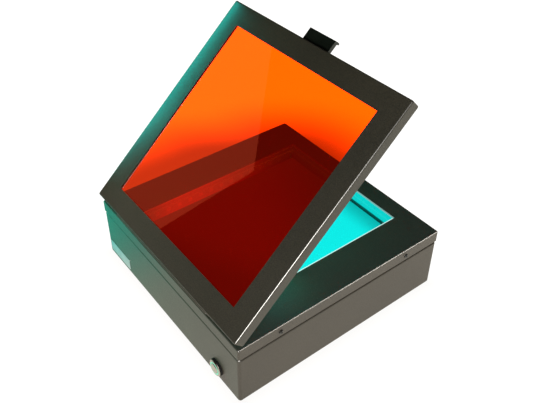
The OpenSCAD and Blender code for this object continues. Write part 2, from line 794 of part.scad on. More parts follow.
base_tray();
rubber_feet();
top_cover();
cover_screws();
cover_nuts();
rating_plate();
window_glass();
window_gasket();
window_seal();
lit_tray();
light_panel();
lit_tray_studs();
lit_tray_spacers();
lit_tray_nuts();
led_strip(-1);  // led_strip_left
led_strip(1);  // led_strip_right
leds(-1);  // leds_left
leds(1);  // leds_right
driver_board();
driver_standoffs();
driver_screws();
driver_coil();
driver_capacitors();
driver_chips();
driver_heatsink();
driver_terminals();
switch_housing();
switch_washer();
switch_nut();
switch_light_ring();
switch_cap();
switch_terminals();
inlet_socket();
inlet_pin();
inlet_nut();
supply_wires();
led_wires();
wire_clips();
hinge_base_leaf();
hinge_pin();
hinge_base_screws();
hinge_base_nuts();
lid_frame();
hinge_lid_leaf();
hinge_lid_studs();
hinge_lid_nuts();
amber_filter();
filter_tape();
side_retainer(-1);  // retainer_left
side_retainer(1);  // retainer_right
retainer_front();
retainer_rear();
retainer_studs();
retainer_spacers();
retainer_nuts();
pull_tab();
tab_screws();
lid_bumpers();
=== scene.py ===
"""Blue light viewing box: finishes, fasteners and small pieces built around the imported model.

Metres, +Z up. The hinge and the power button are on the +Y side.
"""

import json
import math

import bmesh
import bpy
from mathutils import Matrix, Vector


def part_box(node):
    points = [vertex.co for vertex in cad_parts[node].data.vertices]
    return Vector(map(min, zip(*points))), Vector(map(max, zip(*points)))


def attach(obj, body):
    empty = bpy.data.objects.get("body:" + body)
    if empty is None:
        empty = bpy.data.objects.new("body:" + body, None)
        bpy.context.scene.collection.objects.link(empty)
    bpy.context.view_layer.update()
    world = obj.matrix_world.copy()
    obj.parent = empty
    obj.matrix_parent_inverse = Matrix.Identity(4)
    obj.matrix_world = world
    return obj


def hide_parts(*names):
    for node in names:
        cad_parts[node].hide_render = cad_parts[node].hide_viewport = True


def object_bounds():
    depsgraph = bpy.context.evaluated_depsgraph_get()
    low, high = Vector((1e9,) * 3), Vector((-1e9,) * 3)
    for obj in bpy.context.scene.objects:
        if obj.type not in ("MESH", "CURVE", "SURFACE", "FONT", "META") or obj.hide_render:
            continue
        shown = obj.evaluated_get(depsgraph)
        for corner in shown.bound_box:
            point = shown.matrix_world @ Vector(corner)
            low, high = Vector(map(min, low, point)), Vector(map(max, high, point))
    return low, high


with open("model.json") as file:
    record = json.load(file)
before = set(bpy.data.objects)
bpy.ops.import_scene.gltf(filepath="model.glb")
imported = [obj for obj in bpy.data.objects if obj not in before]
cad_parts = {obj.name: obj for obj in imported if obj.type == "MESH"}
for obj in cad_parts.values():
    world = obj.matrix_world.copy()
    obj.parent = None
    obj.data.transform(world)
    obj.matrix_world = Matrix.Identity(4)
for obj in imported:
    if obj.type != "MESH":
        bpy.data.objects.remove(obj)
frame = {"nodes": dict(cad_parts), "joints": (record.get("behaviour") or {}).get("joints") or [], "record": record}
cad_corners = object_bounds()
NODES = frame["nodes"]
MM = 0.001

# ---- the lid's own frame ----

HINGE = next(joint for joint in frame["joints"] if joint["name"] == "lid_hinge")
HINGE_AXIS = Vector(HINGE["pos_m"])
LID_OPEN = math.radians(HINGE["range_deg"][0])
LID_TURN = (
    Matrix.Translation(HINGE_AXIS)
    @ Matrix.Rotation(LID_OPEN, 4, "X")
    @ Matrix.Translation(-HINGE_AXIS)
)
UPRIGHT = Matrix.Identity(4)


# ---- shader maths ----


class Value:
    """A number that changes over a surface, so that shader maths reads as arithmetic."""

    def __init__(self, finish, socket):
        self.finish = finish
        self.socket = socket

    def __add__(self, other):
        return self.finish.maths("ADD", self, other)

    __radd__ = __add__

    def __sub__(self, other):
        return self.finish.maths("SUBTRACT", self, other)

    def __rsub__(self, other):
        return self.finish.maths("SUBTRACT", other, self)

    def __mul__(self, other):
        return self.finish.maths("MULTIPLY", self, other)

    __rmul__ = __mul__

    def __gt__(self, other):
        return self.finish.maths("GREATER_THAN", self, other)

    def __lt__(self, other):
        return self.finish.maths("LESS_THAN", self, other)

    def __abs__(self):
        return self.finish.maths("ABSOLUTE", self)

    def at_least(self, other):
        return self.finish.maths("MAXIMUM", self, other)

    def power(self, other):
        return self.finish.maths("POWER", self, other)

    def rise(self, low, high):
        """0 below low, 1 above high, and smooth between."""
        made = self.finish.node(
            "ShaderNodeMapRange",
            {"interpolation_type": "SMOOTHSTEP"},
            {"Value": self, "From Min": low, "From Max": high},
        )
        return Value(self.finish, made.outputs["Result"])


class Finish:
    """A material, or the world, built from nodes."""

    def __init__(self, name, owner=None):
        self.owner = owner or bpy.data.materials.new(name)
        self.owner.use_nodes = True
        self.tree = self.owner.node_tree
        self.tree.nodes.clear()

    def feed(self, socket, value):
        if isinstance(value, Value):
            value = value.socket
        if isinstance(value, bpy.types.NodeSocket):
            self.tree.links.new(value, socket)
        elif hasattr(value, "__len__") and len(value) == 3 and socket.type == "RGBA":
            socket.default_value = (*value, 1)
        else:
            socket.default_value = value

    def node(self, kind, settings=None, sockets=None):
        """A node of one kind: its settings first, then the values or links of its sockets."""
        made = self.tree.nodes.new(kind)
        for name, value in (settings or {}).items():
            setattr(made, name, value)
        for name, value in (sockets or {}).items():
            self.feed(made.inputs[name], value)
        return made

    def maths(self, operation, *values):
        made = self.node("ShaderNodeMath", {"operation": operation}, dict(enumerate(values)))
        return Value(self, made.outputs[0])

    def place(self):
        return self.node("ShaderNodeTexCoord").outputs["Object"]

    def axes(self):
        """The point on the piece as three numbers, in metres."""
        parts = self.node("ShaderNodeSeparateXYZ", None, {0: self.place()})
        return [Value(self, part) for part in parts.outputs]

    def stretched(self, scale):
        made = self.node(
            "ShaderNodeVectorMath",
            {"operation": "MULTIPLY"},
            {0: self.place(), 1: scale},
        )
        return made.outputs[0]

    def noise(self, scale, detail=2.0, rough=0.5, place=None):
        made = self.node(
            "ShaderNodeTexNoise",
            None,
            {"Vector": place or self.place(), "Scale": scale, "Detail": detail, "Roughness": rough},
        )
        return Value(self, made.outputs["Fac"])

    def cells(self, scale):
        """Distance to the nearest scattered point, and a random number for each point."""
        made = self.node("ShaderNodeTexVoronoi", None, {"Vector": self.place(), "Scale": scale})
        shade = self.node("ShaderNodeSeparateColor", None, {0: made.outputs["Color"]})
        return Value(self, made.outputs["Distance"]), Value(self, shade.outputs[0])

    def mix(self, share, first, second):
        made = self.node(
            "ShaderNodeMix",
            {"data_type": "RGBA"},
            {"Factor": share, 6: first, 7: second},
        )
        return made.outputs[2]

    def bump(self, height, distance, strength=1.0):
        made = self.node(
            "ShaderNodeBump", None, {"Height": height, "Distance": distance, "Strength": strength}
        )
        return made.outputs["Normal"]

    def surface(self, **sockets):
        """The main shader. Names use _ for the spaces in its sockets' names."""
        named = {name.replace("_", " "): value for name, value in sockets.items()}
        return self.node("ShaderNodeBsdfPrincipled", None, named).outputs[0]

    def blend(self, share, first, second):
        made = self.node("ShaderNodeMixShader", None, {0: share, 1: first, 2: second})
        return made.outputs[0]

    def glow(self, colour, strength):
        """Light of the stage's own, for the floor and the cards."""
        made = self.node("ShaderNodeEmission", None, {"Color": colour, "Strength": strength})
        return made.outputs[0]

    def sky(self, colour, strength):
        made = self.node("ShaderNodeBackground", None, {"Color": colour, "Strength": strength})
        return made.outputs[0]

    def through(self, kind):
        """1 for rays of one kind: Transmission is those that have gone through the filter."""
        return self.node("ShaderNodeLightPath").outputs[f"Is {kind} Ray"]

    def done(self, shader):
        self.node("ShaderNodeOutputMaterial", None, {"Surface": shader})
        return self.owner


# ---- finishes ----


def powder_coat(name, dark, light, rough):
    """Fine textured powder coat with a few brighter flakes in it."""
    f = Finish(name)
    cloud = f.noise(9, 3)
    grain = f.noise(950, 2, 0.6)
    distance, flake = f.cells(1500)
    sparkle = (flake > 0.9) * (distance < 0.33)
    pebble = f.noise(620, 2, 0.55)
    colour = f.mix((grain * 0.7 + cloud * 0.3).rise(0.3, 0.7), dark, light)
    colour = f.mix(sparkle * 0.5, colour, [channel * 3.2 for channel in light])
    height = pebble * 0.7 + grain * 0.3
    return f.done(
        f.surface(
            Base_Color=colour,
            Roughness=rough + (pebble - 0.5) * 0.22 - sparkle * 0.12,
            Normal=f.bump(height, 0.00012, 0.55),
        )
    )


def plastic(name, colour, rough, grain_scale=900, depth=0.00006):
    """Moulded or extruded plastic, rubber or foam with a fine grain."""
    f = Finish(name)
    grain = f.noise(grain_scale, 3, 0.6)
    smudge = f.noise(45, 2)
    tone = f.mix(
        (grain * 0.6 + smudge * 0.4).rise(0.3, 0.7),
        [channel * 0.8 for channel in colour],
        [channel * 1.2 for channel in colour],
    )
    return f.done(
        f.surface(
            Base_Color=tone,
            Roughness=rough + (smudge - 0.5) * 0.15,
            Normal=f.bump(grain, depth, 0.5),
        )
    )


def metal(name, colour, rough, stretch=(1, 1, 1), scale=700):
    """Plated or brushed metal. The brush marks lie along the axis with the small stretch."""
    f = Finish(name)
    marks = f.noise(scale, 3, 0.6, f.stretched(stretch))
    patch = f.noise(60, 2)
    tone = f.mix(
        (marks * 0.6 + patch * 0.4).rise(0.3, 0.7),
        [channel * 0.82 for channel in colour],
        [min(1, channel * 1.1) for channel in colour],
    )
    return f.done(
        f.surface(
            Base_Color=tone,
            Metallic=1.0,
            Roughness=rough + (marks - 0.5) * 0.25,
            Normal=f.bump(marks, 0.00002, 0.4),
        )
    )


def turned_steel(name, centre, colour):
    """Steel faced on a lathe: fine rings round the button's axis."""
    f = Finish(name)
    x, _, z = f.axes()
    radius = ((x - centre.x) * (x - centre.x) + (z - centre.z) * (z - centre.z)).power(0.5)
    rings = f.maths("SINE", radius * 14000) * 0.5 + 0.5
    patch = f.noise(500, 2)
    tone = f.mix((rings * 0.5 + patch * 0.5).rise(0.2, 0.8), [c * 0.86 for c in colour], colour)
    return f.done(
        f.surface(
            Base_Color=tone,
            Metallic=1.0,
            Roughness=0.24 + rings * 0.08 + (patch - 0.5) * 0.1,
            Normal=f.bump(rings, 0.00001, 0.5),
        )
    )


def amber_acrylic(name):
    """Amber filter sheet with a faint, even red glow, which is painted light."""
    f = Finish(name)
    tint = (1.0, 0.042, 0.0001)
    swirl = f.noise(25, 2)
    sheet = f.surface(
        Base_Color=tint,
        Roughness=0.012 + swirl * 0.008,
        IOR=1.49,
        Transmission_Weight=1.0,
        # Painted light: the same faint red glow all over the sheet.
        Emission_Color=(0.9, 0.02, 0.0),
        Emission_Strength=0.045,
    )
    return f.done(sheet)


def window_pane(name):
    """Clear float glass."""
    f = Finish(name)
    clear = f.node("ShaderNodeBsdfTransparent", None, {0: (0.96, 0.985, 0.98)}).outputs[0]
    mirror = f.node(
        "ShaderNodeBsdfGlossy",
        None,
        {"Color": (1, 1, 1), "Roughness": 0.02 + f.noise(30, 1) * 0.02},
    ).outputs[0]
    edge = Value(f, f.node("ShaderNodeLayerWeight", None, {"Blend": 0.5}).outputs["Facing"])
    return f.done(f.blend(edge.power(5) * 0.96 + 0.04, clear, mirror))


# The lamps' cyan, also painted as glow on the walls, panel, bead and lamp strips, and the painted dark red glow
# that rays through the filter meet instead.
LIT = (0.004, 0.92, 0.89)
LIT_THROUGH_AMBER = (0.10, 0.0022, 0.0)


def lit_white(name, level, filtered_level, base=(0.002, 0.16, 0.15), through=LIT_THROUGH_AMBER, glow=LIT):
    """A white surface in the lamps' blue light, which the amber filter takes away. Except on the lamps themselves,
    its glow and the cyan tint of its base colour are painted light; rays through the filter meet a dark red copy
    with its own painted glow.
    """
    f = Finish(name)
    grain = f.noise(800, 2)
    lit = f.surface(
        Base_Color=f.mix(grain, [c * 0.92 for c in base], base),
        Roughness=0.55 + (grain - 0.5) * 0.1,
        Emission_Color=f.mix(level(f), (0.0, 0.0, 0.0), glow),
        Emission_Strength=0.97,
    )
    # Dark red copy for rays through the filter: painted colour and painted glow.
    filtered = f.surface(
        Base_Color=f.mix(grain, (0.03, 0.001, 0.0), (0.04, 0.001, 0.0)),
        Roughness=0.6,
        Emission_Color=f.mix(filtered_level(f), (0.0, 0.0, 0.0), through),
        Emission_Strength=1.0,
    )
    return f.done(f.blend(f.through("Transmission"), lit, filtered))


def glowing(name, colour, strength, base):
    """A frosted lens or ring with its own light."""
    f = Finish(name)
    mottle = f.noise(900, 2)
    return f.done(
        f.surface(
            Base_Color=f.mix(mottle, [c * 0.85 for c in base], base),
            Roughness=0.35 + mottle * 0.1,
            Emission_Color=f.mix(mottle, [c * 0.9 for c in colour], colour),
            Emission_Strength=strength,
        )
    )


def circuit_board(name, mask, copper):
    """Solder mask with faint tracks under it."""
    f = Finish(name)
    x, _, _ = f.axes()
    track = (f.maths("SINE", x * 1500) > 0.55) * (f.noise(70, 1) > 0.5)
    weave = f.noise(1400, 2)
    return f.done(
        f.surface(
            Base_Color=f.mix(track * 0.6, f.mix(weave, mask, [c * 1.15 for c in mask]), copper),
            Roughness=0.32 + weave * 0.12,
            Normal=f.bump(track, 0.00003, 0.6),
        )
    )


# ---- shapes ----

SIDES = 48


def round_radius(radius, angle):
    return radius


def hex_radius(radius, angle):
    """Distance to the side of a hexagon whose corners are at radius."""
    sixth = math.pi / 3
    return radius * math.cos(sixth / 2) / math.cos(angle % sixth - sixth / 2)


def square_radius(half, angle):
    """Distance to the side of a square whose sides are at half."""
    return half / max(abs(math.cos(angle)), abs(math.sin(angle)))


OUTLINES = {"round": round_radius, "hex": hex_radius, "square": square_radius}


def ring_stack(name, rings, closed=False):
    """A solid made of rings (height, radius, outline) in millimetres, from the bottom up.
    A closed stack is a tube, whose last ring joins its first; any other is capped."""
    work = bmesh.new()
    loops = []
    for height, radius, *outline in rings:
        reach = OUTLINES[outline[0] if outline else "round"]
        loop = []
        for side in range(SIDES):
            angle = 2 * math.pi * side / SIDES
            r = reach(radius, angle) * MM
            loop.append(work.verts.new((r * math.cos(angle), r * math.sin(angle), height * MM)))
        loops.append(loop)
    pairs = list(zip(loops, loops[1:] + loops[:1] if closed else loops[1:]))
    for lower, upper in pairs:
        for side in range(SIDES):
            after = (side + 1) % SIDES
            work.faces.new((lower[side], lower[after], upper[after], upper[side]))
    if not closed:
        work.faces.new(reversed(loops[0]))
        work.faces.new(loops[-1])
    bmesh.ops.recalc_face_normals(work, faces=work.faces)
    mesh = bpy.data.meshes.new(name)
    work.to_mesh(mesh)
    work.free()
    return soften(mesh)


def soften(mesh, angle=32):
    mesh.shade_smooth()
    mesh.set_sharp_from_angle(angle=math.radians(angle))
    return mesh


# Sizes of the M3 fasteners, in millimetres.
SHANK_RADIUS = 1.5
BORE_RADIUS = 1.6
HEAD_HEIGHT = 1.6


def thread_rings(low, high):
    """Rings of an M3 thread between two heights."""
    pitch, depth = 0.5, 0.2
    turns = max(1, int((high - low) / pitch))
    step = (high - low) / turns
    rings = []
    for turn in range(turns):
        start = low + turn * step
        rings.append((start, SHANK_RADIUS - depth))
        rings.append((start + step * 0.45, SHANK_RADIUS))
        rings.append((start + step * 0.6, SHANK_RADIUS))
    return rings + [(high, SHANK_RADIUS - depth)]


def screw_rings(length):
    """Button head screw pointing down, its head standing on zero."""
    return [
        (-length, 0.9),
        *thread_rings(-length + 0.3, -0.3),
        (-0.3, SHANK_RADIUS),
        (0, SHANK_RADIUS),
        (0.0, 2.7),
        (0.08, 2.8),
        (0.45, 2.8),
        (0.85, 2.66),
        (1.2, 2.36),
        (1.45, 1.95),
        (1.58, 1.5),
        (HEAD_HEIGHT, 1.3),
        (1.52, 1.15, "hex"),
        (0.75, 1.1, "hex"),
        (0.7, 1.0, "hex"),
    ]


def nut_rings(height):
    """Hexagon nut whose corners are chamfered to a circle just inside its flats."""
    corner = 3.15
    circle = corner * 0.865
    return [
        (0, BORE_RADIUS + 0.2),
        (0, circle),
        (0.3, corner, "hex"),
        (height - 0.3, corner, "hex"),
        (height, circle),
        (height, BORE_RADIUS + 0.2),
        (height - 0.25, BORE_RADIUS),
        (0.25, BORE_RADIUS),
    ]


def stud_rings(length):
    """Threaded stud with pointed ends."""
    return [(0, 1.0), *thread_rings(0.3, length - 0.3), (length, 1.0)]


def spacer_rings(length):
    """Round spacer with eased edges inside and out."""
    radius = 3.0
    return [
        (0, BORE_RADIUS + 0.15),
        (0, radius - 0.2),
        (0.2, radius),
        (length - 0.2, radius),
        (length, radius - 0.2),
        (length, BORE_RADIUS + 0.15),
        (length - 0.15, BORE_RADIUS),
        (0.15, BORE_RADIUS),
    ]


def solids(node, turned=UPRIGHT):
    """The box of each separate solid of a CAD node, in a frame that turned leads out of."""
    work = bmesh.new()
    work.from_mesh(NODES[node].data)
    work.transform(turned.inverted())
    bmesh.ops.remove_doubles(work, verts=work.verts, dist=0.002 * MM)
    boxes, seen = [], set()
    for start in work.verts:
        if start.index in seen:
            continue
        seen.add(start.index)
        island, edge = [start], [start]
        while edge:
            for link in edge.pop().link_edges:
                for vert in link.verts:
                    if vert.index not in seen:
                        seen.add(vert.index)
                        island.append(vert)
                        edge.append(vert)
        low = Vector([min(v.co[axis] for v in island) for axis in range(3)])
        high = Vector([max(v.co[axis] for v in island) for axis in range(3)])
        boxes.append((low, high))
    work.free()
    return boxes


# ---- pieces that repeat, laid out by geometry nodes ----


class Layout:
    """A geometry node tree that stands a copy of a piece on every point."""

    def __init__(self, name):
        self.tree = bpy.data.node_groups.new(name, "GeometryNodeTree")
        self.inputs = {}

    def socket(self, name, kind, way="INPUT"):
        made = self.tree.interface.new_socket(name, in_out=way, socket_type=f"NodeSocket{kind}")
        self.inputs[name] = made.identifier
        return made

    def node(self, kind, settings=None, sockets=None):
        made = self.tree.nodes.new(kind)
        for name, value in (settings or {}).items():
            setattr(made, name, value)
        for name, value in (sockets or {}).items():
            if isinstance(value, bpy.types.NodeSocket):
                self.tree.links.new(value, made.inputs[name])
            else:
                made.inputs[name].default_value = value
        return made


def copies_layout():
    """Copies on points, each facing the way its point says and turned by a seeded amount."""
    layout = Layout("copies_on_points")
    layout.socket("Geometry", "Geometry")
    layout.socket("Piece", "Object")
    layout.socket("Finish", "Material")
    layout.socket("Most turn", "Float")
    layout.socket("Seed", "Int")
    layout.socket("Geometry", "Geometry", "OUTPUT")
    given = layout.node("NodeGroupInput").outputs
    facing = layout.node(
        "GeometryNodeInputNamedAttribute", {"data_type": "FLOAT_VECTOR"}, {"Name": "facing"}
    )
    aim = layout.node(
        "FunctionNodeAlignRotationToVector", {"axis": "Z"}, {"Vector": facing.outputs["Attribute"]}
    )
    spin = layout.node(
        "FunctionNodeRandomValue",
        {"data_type": "FLOAT"},
        {"Max": given["Most turn"], "Seed": given["Seed"]},
    )
    around = layout.node(
        "FunctionNodeAxisAngleToRotation", None, {"Axis": (0, 0, 1), "Angle": spin.outputs["Value"]}
    )
    turned = layout.node(
        "FunctionNodeRotateRotation",
        {"rotation_space": "LOCAL"},
        {"Rotation": aim.outputs[0], "Rotate By": around.outputs[0]},
    )
    piece = layout.node("GeometryNodeObjectInfo", None, {"Object": given["Piece"]})
    placed = layout.node(
        "GeometryNodeInstanceOnPoints",
        None,
        {
            "Points": given["Geometry"],
            "Instance": piece.outputs["Geometry"],
            "Rotation": turned.outputs[0],
        },
    )
    real = layout.node("GeometryNodeRealizeInstances", None, {0: placed.outputs[0]})
    finished = layout.node(
        "GeometryNodeSetMaterial", None, {"Geometry": real.outputs[0], "Material": given["Finish"]}
    )
    layout.node("NodeGroupOutput", None, {0: finished.outputs[0]})
    return layout


COPIES = copies_layout()


def add_piece(name, mesh, node):
    """Puts a finished mesh, already in the finish of the CAD node it replaces, in the scene on that node's body,
    and hides the node.
    """
    piece = bpy.data.objects.new(name, mesh)
    bpy.context.scene.collection.objects.link(piece)
    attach(piece, BODY_OF[node])
    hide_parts(node)


def stand_copies(name, shape, points, facing, finish, turn=0.0, seed=1):
    """One mesh with a copy of shape on each point, made by the layout of geometry nodes.
    facing has a direction for each point, and turn is the most that a copy is turned about it."""
    points_mesh = bpy.data.meshes.new(name)
    points_mesh.from_pydata([tuple(point) for point in points], [], [])
    stored = points_mesh.attributes.new("facing", "FLOAT_VECTOR", "POINT")
    stored.data.foreach_set("vector", [part for way in facing for part in way])
    holder = bpy.data.objects.new(name + "_points", points_mesh)
    pattern = bpy.data.objects.new(name + "_pattern", shape)
    for made in (holder, pattern):
        bpy.context.scene.collection.objects.link(made)
    modifier = holder.modifiers.new("copies", "NODES")
    modifier.node_group = COPIES.tree
    values = {"Piece": pattern, "Finish": finish, "Most turn": turn, "Seed": seed}
    for label, value in values.items():
        modifier[COPIES.inputs[label]] = value
    bpy.context.view_layer.update()
    graph = bpy.context.evaluated_depsgraph_get()
    mesh = bpy.data.meshes.new_from_object(holder.evaluated_get(graph))
    mesh.name = name
    bpy.data.objects.remove(holder)
    bpy.data.objects.remove(pattern)
    return mesh


# ---- finishes of this box ----

BUTTON_LOW, BUTTON_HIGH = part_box("switch_cap")
BUTTON_CENTRE = (BUTTON_LOW + BUTTON_HIGH) / 2
PANEL_LOW, PANEL_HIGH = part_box("light_panel")
SEAL_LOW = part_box("window_seal")[0]


def painted_panel_glow(f):
    """Painted light on the panel from the side lamps: a little dimmer toward its ends, where no lamps are."""
    _, y, _ = f.axes()
    front = (y - PANEL_LOW.y).rise(-0.002, 0.034)
    rear = (PANEL_HIGH.y - y).rise(-0.002, 0.03)
    return (front * 0.5 + 0.47) * (rear * 0.35 + 0.65)


def painted_wall_glow(f):
    """Painted light on the tray's walls, with painted shade at the foot, behind the panel's edge."""
    _, _, z = f.axes()
    return (z - PANEL_HIGH.z).rise(0.001, 0.0035) * 0.68


def painted_filtered_glow(f):
    """Painted light seen through the filter: brighter toward the hinge end, where the filtered light gathers."""
    _, y, _ = f.axes()
    return (y.rise(-0.13, 0.07) * 0.95 + 0.05) * (1 - y.rise(0.07, 0.12) * 0.6)


def painted_filtered_panel_glow(f):
    """Painted light seen through the filter, with painted shade: dimmer toward the front, and in the corner by the
    hinge's -X end.
    """
    x, y, _ = f.axes()
    inner = (y + x * 0.4).rise(-0.17, 0.02)
    hinge_corner = (y - x * 0.5 - 0.04).rise(0.0, 0.08)
    return (inner * 0.8 + 0.2) * (1 - hinge_corner * 0.6)


def lamp_light(f):
    """Nearly even, as behind a frosted lens."""
    return f.noise(700, 1) * 0.1 + 0.95


def painted_seal_glow(f):
    """Painted light on the clear bead, with painted shade along its front side."""
    _, y, _ = f.axes()
    return (y - SEAL_LOW.y).rise(0.0015, 0.003) * 0.65 + 0.3


COAT_DARK = (0.050, 0.038, 0.023)
COAT_LIGHT = (0.086, 0.067, 0.041)
# The lid's coat is the box's coat made darker: painted shade, as the lid's face turns up to the dim sky.
LID_DARK = (0.026, 0.024, 0.015)
LID_LIGHT = (0.066, 0.059, 0.037)

FINISHES = {
    "coat": powder_coat("warm_grey_powder_coat", COAT_DARK, COAT_LIGHT, 0.42),
    "coat_lid": powder_coat("dark_powder_coat", LID_DARK, LID_LIGHT, 0.36),
    "rubber": plastic("black_rubber", (0.018, 0.018, 0.018), 0.75),
    "foam": plastic("black_foam_tape", (0.022, 0.022, 0.022), 0.9, 1600, 0.0001),
    "black_screw": metal("black_oxide_steel", (0.10, 0.10, 0.10), 0.34),
    "zinc": metal("zinc_plated_steel", (0.62, 0.64, 0.66), 0.3),
    "plate": metal("satin_aluminium_plate", (0.74, 0.75, 0.74), 0.36, (1, 1, 25), 300),
    "glass": window_pane("float_glass"),
    # The walls, panel, bead and lamp strips glow with painted light; through the filter they and the lamps show a
    # painted dark red glow.
    "white_metal": lit_white("lit_white_wall", painted_wall_glow, painted_filtered_glow, through=(0.42, 0.035, 0.0)),
    "light_panel": lit_white("lit_diffusing_sheet", painted_panel_glow, painted_filtered_panel_glow),
    "seal": lit_white(
        "lit_clear_bead", painted_seal_glow, lamp_light, (0.3, 0.4, 0.4), (0.03, 0.002, 0.0), (0.6, 0.85, 0.82)
    ),
    "led_strip": lit_white("lit_lamp_strip", painted_wall_glow, painted_filtered_glow, through=(0.4, 0.032, 0.0)),
    "led": lit_white("lit_lamp", lamp_light, painted_filtered_glow, through=(0.5, 0.05, 0.0)),
    "circuit_board": circuit_board("green_circuit_board", (0.012, 0.075, 0.03), (0.09, 0.2, 0.06)),
    "dark_part": plastic("moulded_black_part", (0.025, 0.025, 0.027), 0.45),
    "capacitor": plastic("printed_sleeve", (0.02, 0.035, 0.08), 0.3, 300, 0.00002),
    "heatsink": metal("satin_extrusion", (0.6, 0.61, 0.62), 0.42, (1, 25, 1), 300),
    "green_plastic": plastic("green_terminal_plastic", (0.04, 0.22, 0.08), 0.4),
    "steel": turned_steel("turned_steel", BUTTON_CENTRE, (0.50, 0.48, 0.42)),
    "light_ring": glowing("lit_ring", (0.22, 0.78, 0.52), 0.9, (0.06, 0.12, 0.10)),
    "contact": metal("plated_brass", (0.78, 0.6, 0.3), 0.3),
    "black_plastic": plastic("moulded_black_plastic", (0.015, 0.015, 0.015), 0.3, 500, 0.00003),
    "red_wire": plastic("red_insulation", (0.35, 0.02, 0.02), 0.35, 200, 0.00002),
    "black_wire": plastic("black_insulation", (0.02, 0.02, 0.02), 0.35, 200, 0.00002),
    "clip": plastic("natural_nylon", (0.6, 0.6, 0.56), 0.4),
    "amber": amber_acrylic("amber_acrylic"),
    "black_metal": powder_coat("black_powder_coat", (0.012, 0.012, 0.012), (0.02, 0.02, 0.02), 0.5),
    "tab_plastic": plastic("satin_black_moulding", (0.032, 0.050, 0.036), 0.45, 1300, 0.00005),
}

SLOT_NODES = {
    "coat": "base_tray top_cover hinge_base_leaf hinge_lid_leaf",
    "coat_lid": "lid_frame",
    "rubber": "rubber_feet lid_bumpers switch_washer",
    "foam": "window_gasket filter_tape",
    "black_screw": "cover_screws",
    "zinc": "cover_nuts lit_tray_studs lit_tray_spacers lit_tray_nuts driver_standoffs"
    " driver_screws inlet_pin inlet_nut hinge_base_screws hinge_base_nuts hinge_lid_studs"
    " hinge_lid_nuts retainer_studs retainer_spacers retainer_nuts tab_screws",
    "plate": "rating_plate",
    "glass": "window_glass",
    "white_metal": "lit_tray",
    "light_panel": "light_panel",
    "seal": "window_seal",
    "led_strip": "led_strip_left led_strip_right",
    "led": "leds_left leds_right",
    "circuit_board": "driver_board",
    "dark_part": "driver_coil driver_chips",
    "capacitor": "driver_capacitors",
    "heatsink": "driver_heatsink",
    "green_plastic": "driver_terminals",
    "steel": "switch_housing switch_nut switch_cap hinge_pin",
    "light_ring": "switch_light_ring",
    "contact": "switch_terminals",
    "black_plastic": "inlet_socket",
    "red_wire": "supply_wires",
    "black_wire": "led_wires",
    "clip": "wire_clips",
    "amber": "amber_filter",
    "black_metal": "retainer_left retainer_right retainer_front retainer_rear",
    "tab_plastic": "pull_tab",
}
SLOT_OF = {node: slot for slot, members in SLOT_NODES.items() for node in members.split()}
BODY_OF = {
    node: body for body, members in frame["record"]["behaviour"]["bodies"].items() for node in members
}

for node, part in NODES.items():
    for place in part.material_slots:
        place.material = FINISHES[SLOT_OF[node]]


# ---- fasteners ----


def fasten(node, rings, ways, turn=math.pi, closed=False, seed=1):
    """Replaces each solid of a CAD node by one detailed copy.
    rings takes the length of a solid along its axis in millimetres and gives the ring stack.
    The solids of one node are equally long.
    ways takes the solid's centre and gives the direction its copy points in."""
    turned = LID_TURN if BODY_OF[node] == "lid" else UPRIGHT
    points, facing, length = [], [], 0
    for low, high in solids(node, turned):
        centre = (low + high) / 2
        way = Vector(ways(centre))
        length = abs((high - low).dot(way)) / MM
        points.append(turned @ (centre - way * length * MM / 2))
        facing.append(turned.to_3x3() @ way)
    shape = ring_stack(node + "_shape", rings(length), closed)
    finish = FINISHES[SLOT_OF[node]]
    mesh = stand_copies(node + "_set", shape, points, facing, finish, turn, seed)
    add_piece(node + "_set", soften(mesh), node)


def up(centre):
    return (0, 0, 1)


def outward(centre):
    return (math.copysign(1, centre.x), 0, 0)


def rearward(centre):
    return (0, 1, 0)


def whole_screw(length):
    """A screw standing on its tip, with its head at the top."""
    shank = length - HEAD_HEIGHT
    return [(height + shank, *rest) for height, *rest in screw_rings(shank)]


fasten("cover_screws", whole_screw, outward, seed=3)
fasten("hinge_base_screws", whole_screw, up, seed=4)
fasten("driver_screws", whole_screw, up, seed=5)
fasten("tab_screws", whole_screw, rearward, seed=6)
for node, way in (("cover_nuts", outward), ("lit_tray_nuts", up), ("hinge_base_nuts", up)):
    fasten(node, nut_rings, way, closed=True, seed=7)
for node in ("hinge_lid_nuts", "retainer_nuts"):
    fasten(node, nut_rings, up, closed=True, seed=8)
for node in ("lit_tray_studs", "hinge_lid_studs", "retainer_studs"):
    fasten(node, stud_rings, up)
for node in ("lit_tray_spacers", "retainer_spacers", "driver_standoffs"):
    fasten(node, spacer_rings, up, closed=True)


def foot_rings(height):
    """Rubber foot with a rounded lower edge and a recess for its screw."""
    low, high = solids("rubber_feet")[0]
    radius = (high.x - low.x) / 2 / MM
    return [
        (0.9, 3.2),
        (0.9, 4.6),
        (0.0, 5.0),
        (0.0, radius - 1.0),
        (0.3, radius - 0.4),
        (0.7, radius - 0.1),
        (height - 0.2, radius),
        (height, radius - 0.1),
    ]


def bumper_rings(height):
    """Rubber bumper with a domed end."""
    return [
        (0.0, 3.6),
        (0.1, 4.2),
        (0.5, 4.7),
        (1.2, 4.95),
        (2.0, 5.0),
        (height - 2.0, 5.0),
        (height, 5.0),
    ]


fasten("rubber_feet", foot_rings, up)
fasten("lid_bumpers", bumper_rings, up)


# ---- lamps ----


def lamp_rings(size, height, dome):
    """A square lamp body with eased edges and a round lens on top, standing on zero."""
    half, ease = size / 2, size * 0.05
    return [
        (0, half, "square"),
        (height - ease, half, "square"),
        (height, half - ease, "square"),
        (height, size * 0.42),
        (height - 0.12, size * 0.40),
        (height + dome * 0.35, size * 0.37),
        (height + dome * 0.75, size * 0.26),
        (height + dome, size * 0.1),
    ]


LENS_HEIGHT = 0.3


